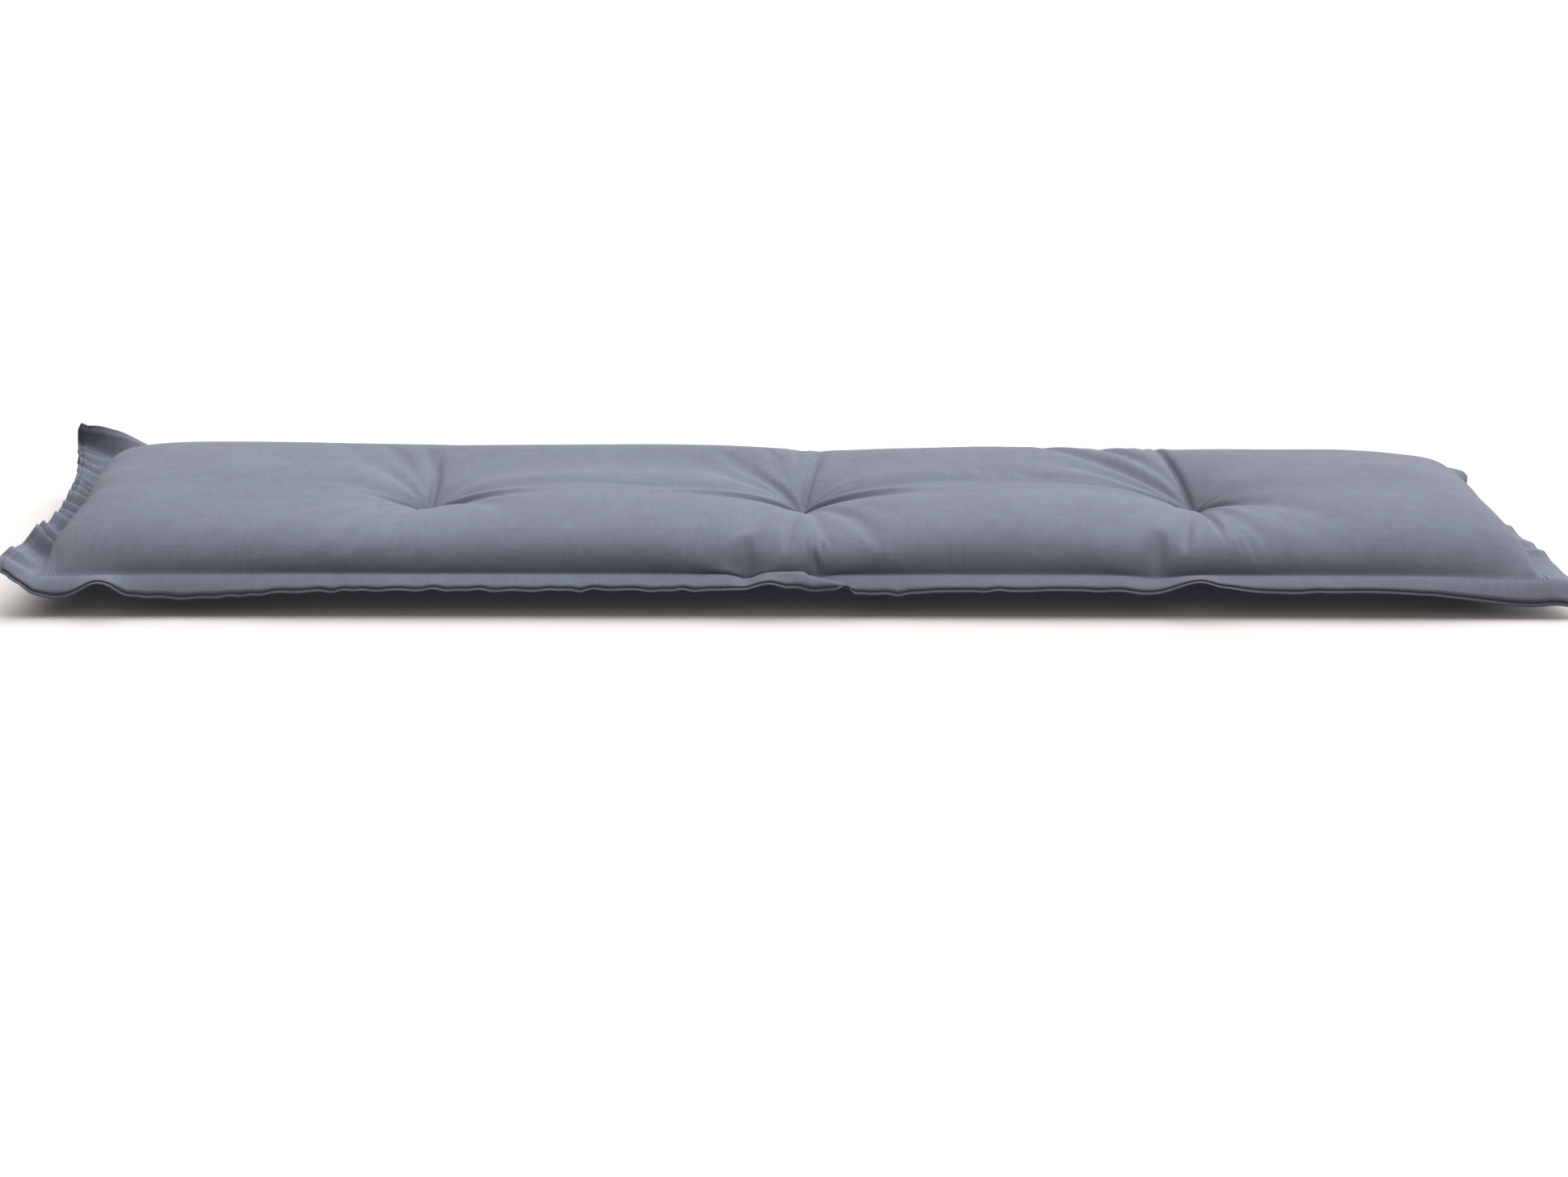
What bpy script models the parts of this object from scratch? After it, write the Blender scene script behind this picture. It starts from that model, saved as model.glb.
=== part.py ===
"""Bench cushion: a long filled pad with a flat flange all round and three tufts along its middle.

Metres, +Z up. The origin is on the surface the cushion lies on, under the middle of its outline. X runs along the
cushion, and -Y is the front edge. Top panel and underside are one closed, filled solid. It swells over a crown,
stands up steeply from the topstitched seam, and goes on outside that seam as the flange. Each tuft is a loop of
twine that passes through the filling and draws both panels together.
"""

import math
from collections import namedtuple

import bmesh
import bpy
import numpy as np

# Driving dimensions
LENGTH = 1.500  # over the corners of the flange
DEPTH = 0.480
FLANGE = 0.0255  # width of the flat margin outside the topstitching
FLANGE_THICK = 0.0036  # two panels with their turned-in edges between them
SEAM_HEIGHT = 0.0355  # middle of the flange at the topstitching, above the surface
CROWN_HEIGHT = 0.0845  # top of the filled part
UNDERSIDE_SWELL = 0.050  # how far the underside would hang below the seam with nothing under it
TWINE = 0.0024  # diameter of the twine of a tuft
CLEARANCE = 0.0004  # between twine and cloth

# Shape of the filled part. A share of 1 on an axis is the seam.
END_POWER = 14.0  # squareness of the crown along the cushion
SIDE_POWER = 2.8  # squareness of the crown across it
EDGE_ROUND = 0.45  # 0.5 gives an elliptic shoulder, less gives a steeper one
WALL_BULGE = 0.005  # how far the side walls lean out over the seam
END_DRAW_IN = 0.015  # how far the short edges draw in between their corners
SIDE_DRAW_IN = 0.004
RIGHT_END_THINNER = 0.07  # the filling is a little thinner towards the right end

# Tufts and the long valley that joins them
PIT_DEPTH = 0.052
PIT_LONG = 0.062  # how fast a pit rises along the cushion
PIT_WIDE = 0.047  # and across it
PIT_TIP = 0.16  # roundness of a pit's bottom
UNDER_PIT_DEPTH = 0.014
UNDER_PIT_REACH = 0.034
VALLEY_DEPTH = 0.008
VALLEY_HALF_WIDTH = 0.050
VALLEY_RUN_OUT = 0.120  # the valley fades this far past the outer tufts
LOOP_WIDTH = 0.008  # between the two passes of the twine through the filling

Tuft = namedtuple("Tuft", "name x y")
TUFTS = [
    Tuft("left", -0.373, 0.000),
    Tuft("middle", 0.007, 0.000),
    Tuft("right", 0.408, 0.000),
]

# Folds that run out from the tufts: soft troughs, with the cloth between them standing up
Fold = namedtuple("Fold", "tuft degrees length width depth")
FOLDS = [
    Fold("left", 84, 0.115, 0.008, 0.0045),
    Fold("left", 58, 0.130, 0.012, 0.0045),
    Fold("left", 122, 0.120, 0.014, 0.0040),
    Fold("left", 152, 0.110, 0.012, 0.0030),
    Fold("left", 246, 0.090, 0.010, 0.0030),
    Fold("left", 322, 0.110, 0.012, 0.0045),
    Fold("middle", 90, 0.130, 0.007, 0.0050),
    Fold("middle", 66, 0.130, 0.013, 0.0045),
    Fold("middle", 112, 0.120, 0.010, 0.0045),
    Fold("middle", 136, 0.120, 0.013, 0.0045),
    Fold("middle", 232, 0.110, 0.011, 0.0040),
    Fold("middle", 270, 0.100, 0.006, 0.0040),
    Fold("middle", 304, 0.120, 0.010, 0.0045),
    Fold("middle", 334, 0.110, 0.011, 0.0035),
    Fold("right", 100, 0.120, 0.012, 0.0040),
    Fold("right", 130, 0.120, 0.012, 0.0045),
    Fold("right", 150, 0.130, 0.010, 0.0035),
    Fold("right", 52, 0.110, 0.013, 0.0035),
    Fold("right", 290, 0.110, 0.012, 0.0030),
    Fold("right", 340, 0.120, 0.010, 0.0035),
]

# Waves of the flange's free edge: along which edge, where on it, how long, and how high the edge goes there
Wave = namedtuple("Wave", "edge at half_length height")
WAVES = [
    Wave("front", -0.670, 0.030, 0.009),
    Wave("front", -0.580, 0.050, -0.004),
    Wave("front", -0.020, 0.040, 0.009),
    Wave("front", 0.075, 0.040, -0.004),
    Wave("front", 0.378, 0.034, 0.008),
    Wave("back", -0.520, 0.060, 0.006),
    Wave("back", -0.200, 0.050, -0.004),
    Wave("back", 0.040, 0.040, 0.008),
    Wave("back", 0.330, 0.060, 0.005),
    Wave("left", -0.150, 0.016, 0.007),
    Wave("left", -0.105, 0.014, -0.004),
    Wave("left", -0.065, 0.016, 0.007),
    Wave("left", -0.010, 0.018, -0.005),
    Wave("left", 0.035, 0.012, 0.006),
    Wave("left", 0.065, 0.012, -0.003),
    Wave("left", 0.100, 0.013, 0.006),
    Wave("left", 0.150, 0.016, 0.004),
    Wave("left", -0.150, 0.090, 0.014),
    Wave("left", 0.120, 0.090, 0.008),
    Wave("right", 0.110, 0.060, -0.008),
    Wave("right", -0.110, 0.020, 0.004),
    Wave("right", -0.040, 0.020, -0.005),
    Wave("right", 0.030, 0.016, 0.006),
    Wave("right", 0.110, 0.022, -0.004),
]
FLANGE_DROOP = 0.0075  # how far the free edge hangs below the seam
CORNER_REACH = 0.085  # how far along the edges a corner's lift is felt
Corner = namedtuple("Corner", "x_side y_side lift")
CORNERS = [
    Corner(-1, -1, 0.022),
    Corner(1, -1, -0.002),
    Corner(-1, 1, 0.040),
    Corner(1, 1, -0.006),
]

# Cells of the cloth grid: finest at the seams and tufts, growing away from them
FINEST = 0.006
COARSEST = 0.027
GROWTH = 0.36
FLANGE_CELLS = 2

HALF_LENGTH = LENGTH / 2
HALF_DEPTH = DEPTH / 2
SEAM_X = HALF_LENGTH - FLANGE
SEAM_Y = HALF_DEPTH - FLANGE


def clear_scene():
    for obj in list(bpy.data.objects):
        bpy.data.objects.remove(obj, do_unlink=True)


def cloth_material(name, colour, roughness):
    material = bpy.data.materials.new(name)
    material.use_nodes = True
    shader = material.node_tree.nodes["Principled BSDF"]
    shader.inputs["Base Color"].default_value = (*colour, 1.0)
    shader.inputs["Roughness"].default_value = roughness
    shader.inputs["Metallic"].default_value = 0.0
    return material


def graded(low, high):
    """Grid lines from low to high, finest at both ends, without the line at high."""
    half = (high - low) / 2
    reach = min(half, (COARSEST - FINEST) / GROWTH)
    cells_in_reach = math.log(1 + GROWTH * reach / FINEST) / GROWTH
    cells = 2 * round(cells_in_reach + (half - reach) / COARSEST)
    samples = np.linspace(0, 2 * half, 400)
    size = np.minimum(COARSEST, FINEST + GROWTH * np.minimum(samples, 2 * half - samples))
    count = np.concatenate([[0], np.cumsum(np.diff(samples) / ((size[1:] + size[:-1]) / 2))])
    wanted = np.arange(cells) * count[-1] / cells
    return low + np.interp(wanted, count, samples)


def grid_lines(seam, outer, stops):
    """Every grid line on one axis: flange, then graded cells from stop to stop, then flange."""
    marks = [-seam, *stops, seam]
    inside = [graded(low, high) for low, high in zip(marks[:-1], marks[1:])]
    margin = np.linspace(seam, outer, FLANGE_CELLS + 1)
    return np.concatenate([-margin[:0:-1], *inside, margin])


def smooth_step(value, low, high):
    share = np.clip((value - low) / (high - low), 0, 1)
    return share * share * (3 - 2 * share)


def shoulder(share, power):
    """Height of the crown on one axis: 0 at the seam, 1 in the middle, steep at the seam."""
    return (1 - np.minimum(np.abs(share), 1) ** power) ** EDGE_ROUND


def fold_trough(fold, x, y):
    """Depth of one fold: a trough that widens and fades as it runs out from its tuft."""
    tuft = next(t for t in TUFTS if t.name == fold.tuft)
    angle = math.radians(fold.degrees)
    along = (x - tuft.x) * math.cos(angle) + (y - tuft.y) * math.sin(angle)
    off = (y - tuft.y) * math.cos(angle) - (x - tuft.x) * math.sin(angle)
    share = np.clip(along / fold.length, 0, 1)
    width = fold.width * (0.45 + 1.1 * share)
    return fold.depth * 4 * share * (1 - share) * np.exp(-((off / width) ** 2))


def pits(x, y):
    """Depth of the tuft pits in the top, and of the valley and folds between them."""
    depth = np.zeros_like(x)
    for tuft in TUFTS:
        far = np.sqrt(((x - tuft.x) / PIT_LONG) ** 2 + ((y - tuft.y) / PIT_WIDE) ** 2 + PIT_TIP**2)
        depth = np.maximum(depth, PIT_DEPTH * np.exp(PIT_TIP - far))
    run_in = smooth_step(x, TUFTS[0].x - VALLEY_RUN_OUT, TUFTS[0].x)
    run_out = 1 - smooth_step(x, TUFTS[-1].x, TUFTS[-1].x + VALLEY_RUN_OUT)
    valley = VALLEY_DEPTH * np.exp(-((y / VALLEY_HALF_WIDTH) ** 2)) * run_in * run_out
    return depth + valley * (1 - depth / PIT_DEPTH) + sum(fold_trough(f, x, y) for f in FOLDS)


def under_pits(x, y):
    """How far the tufts draw the underside up."""
    lift = np.zeros_like(x)
    for tuft in TUFTS:
        far = np.hypot(x - tuft.x, y - tuft.y) / UNDER_PIT_REACH
        lift = np.maximum(lift, UNDER_PIT_DEPTH * np.exp(-(far**1.6)))
    return lift


def flange_lift(x, y):
    """Height of the flange's free edge against the seam, faded to nothing at the seam."""
    past_x = np.clip((np.abs(x) - SEAM_X) / FLANGE, 0, 1)
    past_y = np.clip((np.abs(y) - SEAM_Y) / FLANGE, 0, 1)
    out = np.maximum(past_x, past_y)
    lift = np.full_like(x, -FLANGE_DROOP)
    sides = {"front": (y < 0, past_y, x), "back": (y > 0, past_y, x)}
    sides |= {"left": (x < 0, past_x, y), "right": (x > 0, past_x, y)}
    for wave in WAVES:
        on_side, past, along = sides[wave.edge]
        crest = np.exp(-(((along - wave.at) / wave.half_length) ** 2))
        lift += np.where(on_side & (past > 0), wave.height * crest, 0)
    for corner in CORNERS:
        from_corner = np.hypot(x - corner.x_side * HALF_LENGTH, y - corner.y_side * HALF_DEPTH)
        lift += corner.lift * np.exp(-((from_corner / CORNER_REACH) ** 2))
    return lift * out**1.3


def drawn_in(x, y):
    """Plan position of a grid point, with the edges drawn in between the corners."""
    end_bow = END_DRAW_IN * (np.abs(x) / HALF_LENGTH) ** 8 * (1 - (y / HALF_DEPTH) ** 2)
    side_bow = SIDE_DRAW_IN * (np.abs(y) / HALF_DEPTH) ** 4 * (1 - (x / HALF_LENGTH) ** 2)
    return x - np.sign(x) * end_bow, y - np.sign(y) * side_bow


def panel_points(x, y, top):
    """Points of the top panel or of the underside for grid coordinates x and y."""
    along = shoulder(x / SEAM_X, END_POWER)
    across = shoulder(y / SEAM_Y, SIDE_POWER)
    fullness = along * across
    middle = SEAM_HEIGHT + flange_lift(x, y)
    if top:
        swell = CROWN_HEIGHT - SEAM_HEIGHT - FLANGE_THICK / 2
        swell *= 1 - RIGHT_END_THINNER * smooth_step(x, 0.42, 0.70)
        height = middle + FLANGE_THICK / 2 + np.maximum(swell * fullness - pits(x, y) * fullness, 0)
    else:
        lowered = middle - FLANGE_THICK / 2 - UNDERSIDE_SWELL * fullness
        height = np.maximum(lowered, 0) + under_pits(x, y) * fullness
    plan_x, plan_y = drawn_in(x, y)
    plan_x = plan_x + np.sign(x) * WALL_BULGE * 4 * along * (1 - along) * across
    plan_y = plan_y + np.sign(y) * WALL_BULGE * 4 * across * (1 - across) * along
    return np.stack([plan_x, plan_y, height], axis=-1)


def add_panel(bm, points, top):
    """Adds one panel's quads and returns its grid of vertices."""
    rows = [[bm.verts.new(point) for point in row] for row in points]
    for i in range(len(rows) - 1):
        for j in range(len(rows[0]) - 1):
            corners = [rows[i][j], rows[i + 1][j], rows[i + 1][j + 1], rows[i][j + 1]]
            bm.faces.new(corners if top else corners[::-1])
    return rows


def make_cushion(material):
    """The filled part with its flange, as one closed surface: two panels joined round their outer edges."""
    x_lines = grid_lines(SEAM_X, HALF_LENGTH, [tuft.x for tuft in TUFTS])
    y_lines = grid_lines(SEAM_Y, HALF_DEPTH, [0.0])
    x, y = np.meshgrid(x_lines, y_lines, indexing="ij")
    bm = bmesh.new()
    for top in (True, False):
        add_panel(bm, panel_points(x, y, top), top)
    rims = [edge for edge in bm.edges if edge.is_boundary]
    bmesh.ops.bridge_loops(bm, edges=rims)
    bmesh.ops.recalc_face_normals(bm, faces=bm.faces)
    mesh = bpy.data.meshes.new("cushion")
    bm.to_mesh(mesh)
    bm.free()
    mesh.shade_smooth()
    mesh.set_sharp_from_angle(angle=math.radians(30))
    mesh.materials.append(material)
    cushion = bpy.data.objects.new("cushion", mesh)
    bpy.context.scene.collection.objects.link(cushion)
    return cushion


def loop_points(tuft):
    """The route of a tuft's twine: an upright rounded rectangle that bears on both panels."""
    at_x, at_y = np.array([tuft.x]), np.array([tuft.y])
    top = panel_points(at_x, at_y, True)[0, 2] + TWINE / 2 + CLEARANCE
    bottom = panel_points(at_x, at_y, False)[0, 2] - TWINE / 2 - CLEARANCE
    centre = np.array([tuft.x, tuft.y, (top + bottom) / 2])
    half_wide, half_high, bend = LOOP_WIDTH / 2, (top - bottom) / 2, LOOP_WIDTH / 2 * 0.7
    points = []
    for quarter in range(4):
        side_x, side_z = [(1, 1), (-1, 1), (-1, -1), (1, -1)][quarter]
        for step in range(5):
            angle = math.radians(90 * (quarter + step / 4))
            x = side_x * (half_wide - bend) + bend * math.cos(angle)
            z = side_z * (half_high - bend) + bend * math.sin(angle)
            points.append(centre + np.array([x, 0, z]))
    return points


def make_loop(name, tuft, radius):
    """A closed tube of that radius along a tuft's route."""
    curve = bpy.data.curves.new(name, "CURVE")
    curve.dimensions = "3D"
    curve.bevel_depth = radius
    curve.bevel_resolution = 2
    route = loop_points(tuft)
    spline = curve.splines.new("POLY")
    spline.points.add(len(route) - 1)
    for point, place in zip(spline.points, route):
        point.co = (*place, 1.0)
    spline.use_cyclic_u = True
    loop = bpy.data.objects.new(name, curve)
    bpy.context.scene.collection.objects.link(loop)
    return loop


def make_tuft(tuft, cushion, material):
    """One tie of twine, and the passage that it takes through the filled part."""
    tie = make_loop(f"tuft_tie_{tuft.name}", tuft, TWINE / 2)
    tie.data.materials.append(material)
    guide = make_loop(f"passage_{tuft.name}", tuft, TWINE / 2 + CLEARANCE)
    cutter = bpy.data.objects.new(f"cutter_{tuft.name}", bpy.data.meshes.new_from_object(guide))
    bpy.data.objects.remove(guide, do_unlink=True)
    bpy.context.scene.collection.objects.link(cutter)
    cutter.hide_render = True
    cutter.display_type = "WIRE"
    cut = cushion.modifiers.new(f"passage_{tuft.name}", "BOOLEAN")
    cut.operation = "DIFFERENCE"
    cut.solver = "EXACT"
    cut.object = cutter


clear_scene()
cloth = cloth_material("cover_cloth", (0.26, 0.29, 0.35), 0.85)
twine = cloth_material("tuft_twine", (0.20, 0.22, 0.27), 0.8)
bench_cushion = make_cushion(cloth)
for one_tuft in TUFTS:
    make_tuft(one_tuft, bench_cushion, twine)
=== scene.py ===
import math
from collections import namedtuple

import bpy
import numpy as np
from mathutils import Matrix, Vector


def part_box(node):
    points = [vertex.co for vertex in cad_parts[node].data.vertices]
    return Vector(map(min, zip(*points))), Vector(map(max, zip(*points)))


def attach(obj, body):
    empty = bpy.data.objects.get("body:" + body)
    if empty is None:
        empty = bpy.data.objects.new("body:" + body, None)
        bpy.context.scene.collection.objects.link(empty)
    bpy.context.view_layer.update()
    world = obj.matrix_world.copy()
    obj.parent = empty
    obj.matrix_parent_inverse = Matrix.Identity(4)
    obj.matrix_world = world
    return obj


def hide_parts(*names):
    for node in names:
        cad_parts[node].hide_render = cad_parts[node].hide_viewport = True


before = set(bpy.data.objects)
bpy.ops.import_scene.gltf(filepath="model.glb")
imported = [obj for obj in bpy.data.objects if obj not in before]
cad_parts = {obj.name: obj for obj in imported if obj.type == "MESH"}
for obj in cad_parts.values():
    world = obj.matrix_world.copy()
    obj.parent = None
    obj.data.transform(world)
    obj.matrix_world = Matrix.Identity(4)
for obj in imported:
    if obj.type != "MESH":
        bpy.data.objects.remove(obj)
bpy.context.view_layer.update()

# The bench cushion lies flat on the floor: X along it, -Y its front edge, Z up, everything in metres.


# ---------------------------------------------------------------- the filled cover
# Two equal panels of plain-woven cloth, sewn together round their outer edge, turned, filled with fibre and
# topstitched 25 mm inside that edge. Twine drawn through at three places pulls them together. The cloth is
# cut flat and finds its own folds, pressed out by the filling and held by the stitches and the twine.
FLANGE = 0.0255  # width of the doubled cloth outside the topstitching
SEAM_HEIGHT = 0.0348  # height of the topstitching above the floor
cushion_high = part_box("cushion")[1]
SEAM_X = cushion_high[0] - FLANGE
SEAM_Y = cushion_high[1] - FLANGE
LEFT_DRAW_IN = 0.020  # how far the filling draws in the middle of each end
RIGHT_DRAW_IN = 0.022
SIDE_DRAW_IN = 0.003  # and the middle of the front and back edges
FRONT_LEFT_OUT = 0.0080  # how far the corners stand out or in from their places
BACK_LEFT_OUT = 0.003
FRONT_RIGHT_IN = 0.002
BACK_RIGHT_IN = 0.014

EASE_AT_SEAM = 0.004  # cloth to spare along the topstitching, as a share of its length
EASE_ALONG = 0.006
SPINE_EASE = 0.008  # more of it along the middle
SPINE_HALF_WIDTH = 0.05
END_CLOTH = 0.020  # length that the steep end walls take up
END_REACH = 0.035
EASE_ACROSS = 0.054
ENDS_LESS = 0.012  # and less of it beyond the outer tufts
ENDS_FROM, ENDS_FADE = 0.46, 0.02
PIT_EASE = 0.022  # and round a tuft
PIT_REACH = 0.055
TWINE = 0.0024
CLEARANCE = 0.0004
PIT_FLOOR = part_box("tuft_tie_middle")[1][2] - TWINE - CLEARANCE  # height of the cloth at a tuft, on the top
UNDER_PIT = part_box("tuft_tie_middle")[0][2] + TWINE + CLEARANCE  # and on the underside
TIE_GRIP = 0.005  # radius of the cloth that the twine gathers
GATHERED = 0.35  # and how much smaller that cloth becomes

FILLING_LOFT = 0.083  # thickness at which the filling stops pressing
LOFT_GIVE = 0.030  # it presses fully once squeezed by this much
CLING = 0.6  # and where the cloth stands further off, it pulls back by at most this share of its push
PRESSURE = 0.30
SAG = 0.10  # weight of the cloth, as a share of the filling's push
SPEED_KEPT = 0.96
STIFFNESS = {"thread": 1.0, "bias": 0.6, "bend": 0.15}
BACK_ROLL_FULLER, BACK_ROLL_FADE = 0.001, 0.03
RIGHT_END_THINNER = 0.003
RIGHT_END_FROM, RIGHT_END_FADE = 0.60, 0.04
TUFT_THINNER = 0.003  # round each tuft
TUFT_THIN_REACH = 0.085
BACK_LEFT_THINNER = 0.021
BACK_LEFT_FROM, BACK_LEFT_FADE = 0.06, 0.03
BACK_LEFT_MIDDLE, BACK_LEFT_HALF_LENGTH = -0.20, 0.33
VALLEY_DEPTH = 0.0078  # the filling is thinner along the middle, between two long rolls
VALLEY_HALF_WIDTH = 0.024
VALLEY_END = 0.500  # and this fades towards the ends
Uneven = namedtuple("Uneven", "along across phase height")
UNEVEN_FILLING = [
    Uneven(13.0, 9.0, 0.4, 0.0015),
    Uneven(-21.0, 14.0, 1.9, 0.0012),
    Uneven(34.0, -19.0, 3.1, 0.0010),
    Uneven(52.0, 23.0, 5.2, 0.0008),
]

Tuft = namedtuple("Tuft", "name x y")
TUFTS = []
for name in ("left", "middle", "right"):
    tie_low, tie_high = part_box(f"tuft_tie_{name}")
    tie_middle = [round((low + high) / 2, 3) for low, high in zip(tie_low, tie_high)]
    TUFTS.append(Tuft(name, tie_middle[0], tie_middle[1]))

# Creases that run out from the tufts, where the filling has parted. Angles are in degrees, anticlockwise
# from +X seen from above, at the crease's two ends, which lie at distances near and far from the tuft.
CREASE_SHARE = 0.6  # how much of a crease's depth the filling gives up
CREASE_FADE_IN, CREASE_FADE_OUT = 0.2, 0.3  # shares of its length over which it starts and ends
Crease = namedtuple("Crease", "tuft near_angle far_angle near far width depth")
CREASES = [
    Crease("left", 80, 93, 0.012, 0.150, 0.006, 0.026),
    Crease("left", 70, 73, 0.035, 0.110, 0.007, 0.016),
    Crease("left", 46, 50, 0.030, 0.130, 0.012, 0.014),
    Crease("left", 104, 106, 0.030, 0.140, 0.007, 0.012),
    Crease("left", 121, 125, 0.030, 0.150, 0.007, 0.014),
    Crease("left", 166, 175, 0.020, 0.110, 0.011, 0.016),
    Crease("left", -30, -62, 0.015, 0.185, 0.008, 0.034),
    Crease("left", -104, -96, 0.020, 0.170, 0.008, 0.018),
    Crease("middle", 92, 91, 0.012, 0.110, 0.005, 0.022),
    Crease("middle", 78, 81, 0.015, 0.150, 0.006, 0.020),
    Crease("middle", 52, 56, 0.030, 0.140, 0.011, 0.014),
    Crease("middle", 104, 103, 0.030, 0.130, 0.006, 0.014),
    Crease("middle", 121, 117, 0.025, 0.150, 0.007, 0.018),
    Crease("middle", 146, 131, 0.035, 0.150, 0.009, 0.018),
    Crease("middle", -97, -96, 0.012, 0.190, 0.006, 0.018),
    Crease("middle", -84, -84, 0.012, 0.200, 0.006, 0.020),
    Crease("middle", -118, -110, 0.030, 0.190, 0.008, 0.030),
    Crease("middle", -62, -70, 0.025, 0.190, 0.008, 0.032),
    Crease("middle", -50, -55, 0.100, 0.175, 0.007, 0.014),
    Crease("right", 94, 93, 0.020, 0.150, 0.014, 0.006),
    Crease("right", 112, 112, 0.030, 0.130, 0.009, 0.010),
    Crease("right", 134, 132, 0.030, 0.130, 0.008, 0.014),
    Crease("right", 156, 152, 0.040, 0.120, 0.010, 0.012),
    Crease("right", 50, 52, 0.030, 0.110, 0.010, 0.014),
    Crease("right", -8, -14, 0.045, 0.100, 0.006, 0.008),
]


def graded(reach, count, marks, closeness, width, fineness=4001):
    """Lines from -reach to reach, closer together near each mark and near both ends."""
    samples = np.linspace(-reach, reach, fineness)
    density = np.ones_like(samples)
    for mark in (*marks, -reach, reach):
        density += closeness * np.exp(-(((samples - mark) / width) ** 2))
    counted = np.concatenate([[0], np.cumsum((density[1:] + density[:-1]) / 2)])
    return np.interp(np.linspace(0, counted[-1], count + 1), counted, samples)


def seam_plan(u, v):
    """Plan position of a point of the panels: the edges draw in between the corners."""
    across = np.clip(v / SEAM_Y, -1, 1)
    back = (1 + across) / 2
    left_in = LEFT_DRAW_IN * (1 - across**2) - FRONT_LEFT_OUT * (1 - back) - BACK_LEFT_OUT * back
    right_in = RIGHT_DRAW_IN * (1 - across**2) + FRONT_RIGHT_IN * (1 - back) + BACK_RIGHT_IN * back
    x = u + np.where(u < 0, left_in, -right_in) * np.abs(u) / SEAM_X
    y = v * (1 - SIDE_DRAW_IN / SEAM_Y * (1 - np.minimum(np.abs(u) / SEAM_X, 1) ** 2))
    return x, y


def seam_height(u, v):
    """Height of the topstitching, which dips or rises where the flange is kinked.

    Known fault: a row acts on all of its half of the cushion, not only on its own edge. So the back edge has
    a step about 8 mm high at its middle, and the two ends have smaller ones at theirs.
    """
    height = np.full_like(u, SEAM_HEIGHT)
    for dip in SEAM_DIPS:
        along, side = (u, v) if dip.edge in ("front", "back") else (v, u)
        on_edge = side * (1 if dip.edge in ("back", "right") else -1) > 0
        height += np.where(on_edge, dip.height * np.exp(-(((along - dip.at) / dip.half_length) ** 2)), 0)
    return height


SeamDip = namedtuple("SeamDip", "edge at half_length height")
SEAM_DIPS = [
    SeamDip("front", -0.717, 0.100, -0.0020),
    SeamDip("front", -0.053, 0.012, -0.0055),
    SeamDip("front", 0.015, 0.015, -0.0025),
    SeamDip("front", 0.342, 0.025, -0.0035),
    SeamDip("front", 0.700, 0.060, -0.0030),
    SeamDip("left", -0.121, 0.020, 0.0030),
    SeamDip("left", 0.057, 0.025, 0.0020),
    SeamDip("left", 0.211, 0.030, 0.0080),
]


def from_tuft(tuft, u, v):
    """Distance from a tuft to a point of the panels, before the cloth has moved."""
    return np.hypot(u - tuft.x, v - tuft.y)


SHOULDER = 0.062  # width of the rounded rise inside the topstitching, before the cloth has moved
BELLY = 0.055  # how far the underside would hang below the topstitching if the floor let it
PIT_LENGTH, PIT_WIDTH = 0.062, 0.047
PIT_ROUND = 0.12
UNDER_PIT_POWER = 1.6


def first_shape(u, v):
    """A smooth filled shape for both panels, for the cloth to start from."""
    x, y = seam_plan(u, v)
    full = np.ones_like(u)
    for reach in (SEAM_X - np.abs(u), SEAM_Y - np.abs(v)):
        full *= (1 - (1 - np.minimum(reach / SHOULDER, 1)) ** 2) ** 0.5
    crown = cushion_high[2] - SEAM_HEIGHT
    pit = np.zeros_like(u)
    under = np.zeros_like(u)
    for tuft in TUFTS:
        far = np.sqrt(((u - tuft.x) / PIT_LENGTH) ** 2 + ((v - tuft.y) / PIT_WIDTH) ** 2 + PIT_ROUND**2)
        pit = np.maximum(pit, np.exp(PIT_ROUND - far))
        under = np.maximum(under, np.exp(-((from_tuft(tuft, u, v) / PIT_REACH) ** UNDER_PIT_POWER)))
    top = SEAM_HEIGHT + full * (crown - pit * (SEAM_HEIGHT + crown - PIT_FLOOR))
    bottom = np.maximum(SEAM_HEIGHT - BELLY * full, 0) + UNDER_PIT * under
    return np.stack([np.stack([x, y, top]), np.stack([x, y, bottom])], axis=1)


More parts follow.
